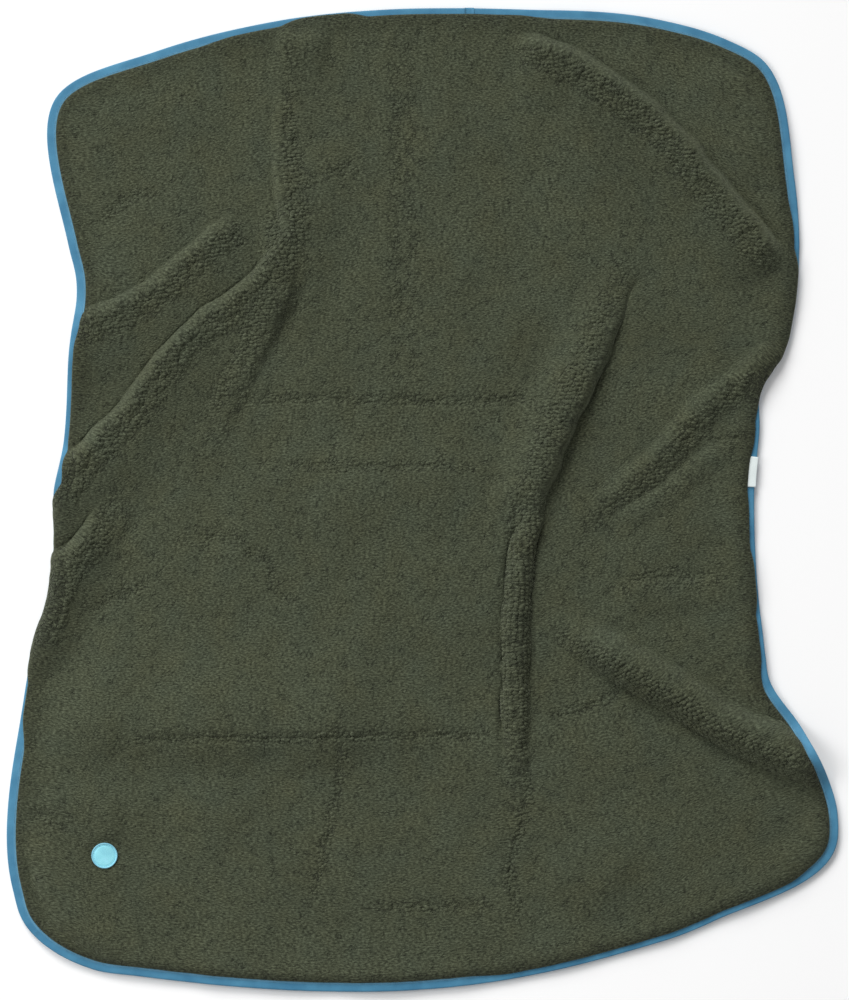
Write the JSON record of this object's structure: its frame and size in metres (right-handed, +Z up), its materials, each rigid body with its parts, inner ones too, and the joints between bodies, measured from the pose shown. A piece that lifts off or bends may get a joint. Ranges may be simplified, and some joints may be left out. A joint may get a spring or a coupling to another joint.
{
  "type": "camp blanket",
  "caption": "Bound two-layer camp blanket laid out loosely in soft folds, with a round sewn patch near a corner and a flip-up ribbon side label.",
  "frame": {"origin": "on the ground, under the middle of the laid blanket", "axes": "+Z up out of the pile side, +Y along the blanket's length with the round patch at the -Y end, +X across it towards the side label"},
  "size_m": [1.266, 1.4969, 0.0532],
  "materials": {
    "pile": "olive pile fleece",
    "back": "olive brushed knit",
    "tape": "blue woven tape",
    "tape_thread": "blue sewing thread",
    "patch": "pale cyan embroidery",
    "patch_rim": "cyan overlocked rim",
    "patch_thread": "cyan sewing thread",
    "label": "white satin ribbon",
    "label_thread": "white sewing thread"
  },
  "bodies": {
    "blanket": {"pile_panel": "pile", "back_panel": "back", "edge_binding": "tape", "binding_needle_thread": "tape_thread", "binding_bobbin_thread": "tape_thread", "patch_disc": "patch", "patch_rim": "patch_rim", "patch_thread": "patch_thread", "label_tail": "label", "label_tack": "label_thread"},
    "label": {"side_label": "label"}
  },
  "joints": [
    {"name": "label_flip", "type": "hinge", "parent": "blanket", "child": "label", "pos_m": [0.49734, 0.04491, 0.0099], "axis": [-0.0798, -0.9968, 0], "range_deg": [0, 150]}
  ]
}
